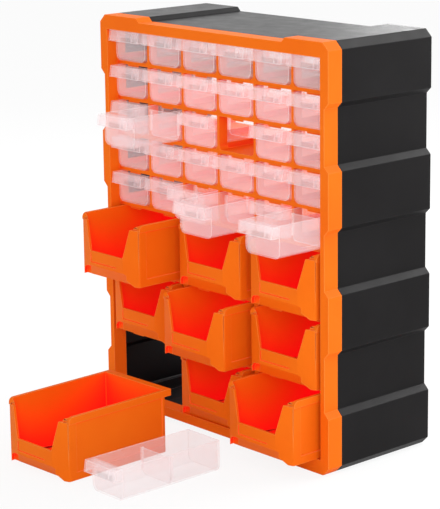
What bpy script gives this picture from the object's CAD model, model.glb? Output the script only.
"""Looks for the parts bin cabinet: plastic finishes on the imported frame, a pale studio and the camera."""

import math

import bpy
from mathutils import Matrix, Vector

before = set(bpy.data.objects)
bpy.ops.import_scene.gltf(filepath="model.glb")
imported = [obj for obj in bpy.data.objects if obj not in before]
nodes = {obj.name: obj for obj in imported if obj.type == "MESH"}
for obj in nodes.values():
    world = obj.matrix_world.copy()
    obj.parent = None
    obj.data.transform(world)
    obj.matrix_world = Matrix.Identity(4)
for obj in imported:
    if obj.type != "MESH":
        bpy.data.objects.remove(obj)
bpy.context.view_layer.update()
scene = bpy.context.scene

MM = 0.001

# ------------------------------------------------------------------ camera

IMAGE_W, IMAGE_H = 440, 509
SENSOR = 36.0  # mm
FOCAL_PIXELS = 1995.8
AXIS_PIXEL = (224.8, 189.7)  # where the lens axis meets the picture
CAMERA_PLACE = Vector((1.6509, -1.4240, 0.7502))
CAMERA_YAW, CAMERA_PITCH, CAMERA_ROLL = -48.14, -11.78, -0.68  # degrees


def add_camera():
    yaw, pitch, roll = (math.radians(a) for a in (CAMERA_YAW, CAMERA_PITCH, CAMERA_ROLL))
    forward = Vector((math.sin(yaw) * math.cos(pitch), math.cos(yaw) * math.cos(pitch), math.sin(pitch)))
    level_right = Vector((math.cos(yaw), -math.sin(yaw), 0))
    level_up = level_right.cross(forward)
    right = math.cos(roll) * level_right + math.sin(roll) * level_up
    up = math.cos(roll) * level_up - math.sin(roll) * level_right
    data = bpy.data.cameras.new("camera")
    data.sensor_fit = "HORIZONTAL"
    data.sensor_width = SENSOR
    data.lens = FOCAL_PIXELS * SENSOR / IMAGE_W
    data.shift_x = (IMAGE_W / 2 - AXIS_PIXEL[0]) / IMAGE_W
    data.shift_y = (AXIS_PIXEL[1] - IMAGE_H / 2) / IMAGE_W
    data.clip_end = 50
    camera = bpy.data.objects.new("camera", data)
    turn = Matrix((right, up, -forward)).transposed().to_4x4()
    camera.matrix_world = Matrix.Translation(CAMERA_PLACE) @ turn
    scene.collection.objects.link(camera)
    scene.camera = camera


# ------------------------------------------------------------------ node helpers


class Tree:
    """Adds shader nodes to a material by short calls."""

    def __init__(self, owner):
        owner.use_nodes = True
        self.nodes = owner.node_tree.nodes
        self.links = owner.node_tree.links
        self.nodes.clear()

    def add(self, kind, settings=None, **inputs):
        node = self.nodes.new("ShaderNode" + kind)
        for name, value in (settings or {}).items():
            setattr(node, name, value)
        for name, value in inputs.items():
            self.put(node, name.replace("_", " "), value)
        return node

    def put(self, node, name, value):
        socket = node.inputs[int(name[1:])] if name[0] == "i" and name[1:].isdigit() else node.inputs[name]
        if isinstance(value, bpy.types.NodeSocket):
            self.links.new(value, socket)
        else:
            socket.default_value = value

    def noise(self, scale, detail=2.0):
        """A noise value that stays with the piece, at scale features to the metre."""
        place = self.add("TexCoord").outputs["Object"]
        return self.add("TexNoise", Vector=place, Scale=scale, Detail=detail).outputs["Fac"]

    def ramp(self, value, low, high, to_low=0.0, to_high=1.0):
        made = self.add("MapRange", {"clamp": True}, Value=value)
        for name, number in (("From Min", low), ("From Max", high), ("To Min", to_low), ("To Max", to_high)):
            made.inputs[name].default_value = number
        return made.outputs["Result"]

    def blend(self, share, a, b):
        made = self.add("Mix", {"data_type": "RGBA"})
        self.put(made, "Factor", share)
        self.put(made, "i6", a)
        self.put(made, "i7", b)
        return made.outputs[2]

    def maths(self, operation, a, b=0.0):
        return self.add("Math", {"operation": operation}, i0=a, i1=b).outputs[0]

    def bump(self, height, depth):
        return self.add("Bump", Height=height, Distance=depth, Strength=1.0).outputs["Normal"]


# ------------------------------------------------------------------ materials

ORANGE = (0.90, 0.170, 0.006, 1)
ORANGE_WARM = (0.88, 0.150, 0.005, 1)
ORANGE_EDGE = (0.95, 0.33, 0.08, 1)
RED_DEPTH = (0.93, 0.024, 0.004, 1)
RED_GLOW = (0.30, 0.001, 0.004, 1)
BLACK = (0.006, 0.0052, 0.0056, 1)
BLACK_WORN = (0.009, 0.008, 0.0085, 1)
BLACK_EDGE = (0.14, 0.135, 0.14, 1)
BLACK_DEPTH = (0.002, 0.001, 0.0015, 1)
MILK = (0.93, 0.86, 0.88, 1)

EDGE_WIDTH = 1.1 * MM  # of the pale line along a moulded edge
CLEAR_EDGE_WIDTH = 1.0 * MM
CORNER_REACH = 1.5 * MM
GLOSS_SPREAD = 0.03


def edges(tree, radius, samples=4):
    """1 along the edges, where a rounded normal turns away from the face's own."""
    rounded = tree.add("Bevel", {"samples": samples}, Radius=radius).outputs[0]
    plain = tree.add("NewGeometry").outputs["Normal"]
    turn = tree.add("VectorMath", {"operation": "DOT_PRODUCT"}, i0=rounded, i1=plain).outputs["Value"]
    return tree.ramp(turn, 0.985, 0.85)


def in_the_open(tree, reach):
    """1 where nothing stands within reach in front, as on an outer edge, and less in a corner."""
    occlusion = tree.add("AmbientOcclusion", {"samples": 4}, Distance=reach)
    return tree.ramp(occlusion.outputs["AO"], 0.6, 0.85)


def moulded(name, colours, roughness, specular, grain, reach, glow=None):
    """Satin moulded plastic: cloudy, paler on its edges, deeper where shut in, with a fine grain.

    colours are the two of the cloud, the edge's and the depth's. Within reach of its own walls the
    plastic takes the depth's colour, and shines with glow, the light that comes through it.
    """
    main, other, edge, depth = colours
    material = bpy.data.materials.new(name)
    material["slot"] = name
    tree = Tree(material)
    cloud = tree.ramp(tree.noise(9, 3), 0.35, 0.65)
    colour = tree.blend(cloud, main, other)
    occlusion = tree.add("AmbientOcclusion", {"samples": 8, "only_local": True}, Distance=reach)
    clear_of_corners = in_the_open(tree, CORNER_REACH)
    shut_in = tree.maths("MULTIPLY", tree.ramp(occlusion.outputs["AO"], 0.85, 0.4), clear_of_corners)
    colour = tree.blend(shut_in, colour, depth)
    outer_edge = tree.maths("MULTIPLY", edges(tree, EDGE_WIDTH), clear_of_corners)
    colour = tree.blend(outer_edge, colour, edge)
    gloss = tree.ramp(tree.noise(60, 4), 0.3, 0.7, roughness - GLOSS_SPREAD, roughness + GLOSS_SPREAD)
    normal = tree.bump(tree.noise(2200, 2), grain)
    surface = tree.add("BsdfPrincipled", Base_Color=colour, Roughness=gloss, Normal=normal)
    surface.inputs["Specular IOR Level"].default_value = specular
    if glow:
        surface.inputs["Emission Color"].default_value = glow
        tree.put(surface, "Emission Strength", shut_in)
    tree.add("OutputMaterial", Surface=surface.outputs[0])
    return material


FACE_Y = min(corner[1] for corner in nodes["front_frame"].bound_box)
PULL_DEPTH = 14 * MM  # the pull and the front wall behind it
PULL_FADE = 1 * MM
HAZE_DEPTH = 60 * MM  # behind the frame's face, where the walls have lost their haze
PULL_OPACITY, WALL_OPACITY, INNER_OPACITY, EDGE_OPACITY = 0.24, 0.22, 0.05, 0.8
OPACITY_SPREAD = 0.015
MILK_GLOW = 0.26
SHINE_THROUGH = 0.45


def clear_plastic(front_y):
    """Milky see-through plastic, densest on the pull and edges, and hazy where it stands in the light."""
    material = bpy.data.materials.new("drawer_clear")
    material["slot"] = "drawer_clear"
    tree = Tree(material)
    place = tree.add("TexCoord").outputs["Object"]
    back = tree.add("SeparateXYZ", Vector=place).outputs["Y"]
    pull_end = front_y + PULL_DEPTH
    front = tree.ramp(back, pull_end, pull_end + PULL_FADE, PULL_OPACITY, 0.0)
    walls = tree.ramp(back, FACE_Y, FACE_Y + HAZE_DEPTH, WALL_OPACITY, INNER_OPACITY)
    cloud = tree.ramp(tree.noise(25, 3), 0.3, 0.7, -OPACITY_SPREAD, OPACITY_SPREAD)
    alpha = tree.maths("ADD", tree.maths("MAXIMUM", front, walls), cloud)
    edge = tree.ramp(edges(tree, CLEAR_EDGE_WIDTH, 2), 0, 1, 0, EDGE_OPACITY)
    alpha = tree.maths("MAXIMUM", alpha, edge)
    gloss = tree.ramp(tree.noise(90, 3), 0.3, 0.7, 0.16, 0.26)
    normal = tree.bump(tree.noise(160, 3), 0.00006)
    surface = tree.add("BsdfPrincipled", Base_Color=MILK, Roughness=gloss, Normal=normal)
    surface.inputs["Specular IOR Level"].default_value = 0.5
    surface.inputs["Emission Color"].default_value = MILK
    surface.inputs["Emission Strength"].default_value = MILK_GLOW
    through = tree.add("BsdfTranslucent", Color=MILK).outputs[0]
    body = tree.add("MixShader", Fac=SHINE_THROUGH, i1=surface.outputs[0], i2=through).outputs[0]
    clear = tree.add("BsdfTransparent").outputs[0]
    mixed = tree.add("MixShader", Fac=alpha, i1=clear, i2=body).outputs[0]
    tree.add("OutputMaterial", Surface=mixed)
    return material


FRAME_ORANGE = moulded(
    "frame_orange", (ORANGE, ORANGE_WARM, ORANGE_EDGE, RED_DEPTH), 0.58, 0.06, 0.00002, reach=35 * MM
)
BIN_ORANGE = moulded(
    "bin_orange", (ORANGE, ORANGE_WARM, ORANGE_EDGE, RED_DEPTH), 0.56, 0.06, 0.00002, 90 * MM, RED_GLOW
)
CASING_BLACK = moulded(
    "casing_black", (BLACK, BLACK_WORN, BLACK_EDGE, BLACK_DEPTH), 0.45, 0.10, 0.00004, reach=150 * MM
)
made_clear = {}  # by the place of the pull

# ------------------------------------------------------------------ CAD nodes

SHARP = math.radians(30)
WELD_REACH = 0.002 * MM
CASING_EDGE, FRAME_EDGE, DRAWER_EDGE, BIN_EDGE = 0.8 * MM, 0.35 * MM, 0.35 * MM, 0.4 * MM


def finish(node, material, edge):
    """Gives a CAD node its finish, and rounds its sharp edges by the width of edge."""
    mesh = node.data
    mesh.materials.clear()
    mesh.materials.append(material)
    if "custom_normal" in mesh.attributes:
        mesh.attributes.remove(mesh.attributes["custom_normal"])
    mesh.polygons.foreach_set("use_smooth", [True] * len(mesh.polygons))
    weld = node.modifiers.new("weld", "WELD")
    weld.merge_threshold = WELD_REACH
    bevel = node.modifiers.new("round", "BEVEL")
    bevel.limit_method = "ANGLE"
    bevel.angle_limit = SHARP
    bevel.width = edge
    bevel.segments = 2
    bevel.use_clamp_overlap = False
    bevel.harden_normals = True


def drawer_plastic(node):
    """Drawers with their pulls at the same place share one material."""
    front_y = round(min(corner[1] for corner in node.bound_box), 4)
    if front_y not in made_clear:
        made_clear[front_y] = clear_plastic(front_y)
    return made_clear[front_y]


for name, node in nodes.items():
    if name == "casing":
        finish(node, CASING_BLACK, CASING_EDGE)
    elif name == "front_frame":
        finish(node, FRAME_ORANGE, FRAME_EDGE)
    elif name.startswith("drawer"):
        finish(node, drawer_plastic(node), DRAWER_EDGE)
    else:
        finish(node, BIN_ORANGE, BIN_EDGE)

# ------------------------------------------------------------------ studio

FLOOR_REACH = 8.0  # metres
FLOOR_GREY = (0.92, 0.92, 0.92, 1)
WHITE = (1, 1, 1, 1)
WHITE_SHARE = 0.88  # of the floor as seen, and the rest shows the shadow
SKY_LIGHT, SKY_SEEN = 0.75, 1.0
CLEAR_LAYERS = 64  # walls of the small drawers that one line of sight can cross


def seen_directly(tree):
    """1 for what the camera sees, by itself or in a gloss, and 0 for what lights the object."""
    path = tree.add("LightPath").outputs
    seen = tree.maths("MAXIMUM", path["Is Camera Ray"], path["Is Glossy Ray"])
    return tree.maths("MAXIMUM", seen, path["Is Transmission Ray"])


def add_floor():
    mesh = bpy.data.meshes.new("floor")
    corners = [(x * FLOOR_REACH, y * FLOOR_REACH, 0) for x, y in ((-1, -1), (1, -1), (1, 1), (-1, 1))]
    mesh.from_pydata(corners, [], [(0, 1, 2, 3)])
    floor = bpy.data.objects.new("floor", mesh)
    scene.collection.objects.link(floor)
    material = bpy.data.materials.new("floor")
    tree = Tree(material)
    matte = tree.add("BsdfDiffuse", Color=FLOOR_GREY).outputs[0]
    white = tree.add("Emission", Color=WHITE, Strength=1.0).outputs[0]
    share = tree.maths("MULTIPLY", seen_directly(tree), WHITE_SHARE)
    mixed = tree.add("MixShader", Fac=share, i1=matte, i2=white).outputs[0]
    tree.add("OutputMaterial", Surface=mixed)
    mesh.materials.append(material)


def add_world():
    world = bpy.data.worlds.new("world")
    scene.world = world
    tree = Tree(world)
    strength = tree.ramp(seen_directly(tree), 0, 1, SKY_LIGHT, SKY_SEEN)
    light = tree.add("Background", Color=WHITE, Strength=strength)
    tree.add("OutputWorld", Surface=light.outputs[0])


def add_lamp(name, place, target, size, power):
    """A rectangular lamp: metres for place, target and size, watts for power."""
    data = bpy.data.lights.new(name, "AREA")
    data.shape = "RECTANGLE"
    data.size, data.size_y = size
    data.energy = power
    lamp = bpy.data.objects.new(name, data)
    lamp.location = place
    lamp.rotation_euler = (Vector(target) - Vector(place)).to_track_quat("-Z", "Y").to_euler()
    scene.collection.objects.link(lamp)


add_camera()
add_floor()
add_world()
add_lamp("key", (2.1, -1.75, 1.0), (0, 0, 0.2), (1.8, 1.4), 19)
add_lamp("ledges", (0.65, 1.64, 1.8), (0.1, 0.1, 0.3), (1.4, 1.0), 30)
add_lamp("sheen", (-1.6, 1.5, 1.0), (0, 0.1, 0.47), (1.2, 0.8), 3)
add_lamp("behind", (-0.1, 1.3, 0.55), (0, 0.1, 0.30), (1.6, 0.5), 22)
scene.view_settings.view_transform = "Standard"
scene.cycles.transparent_max_bounces = CLEAR_LAYERS
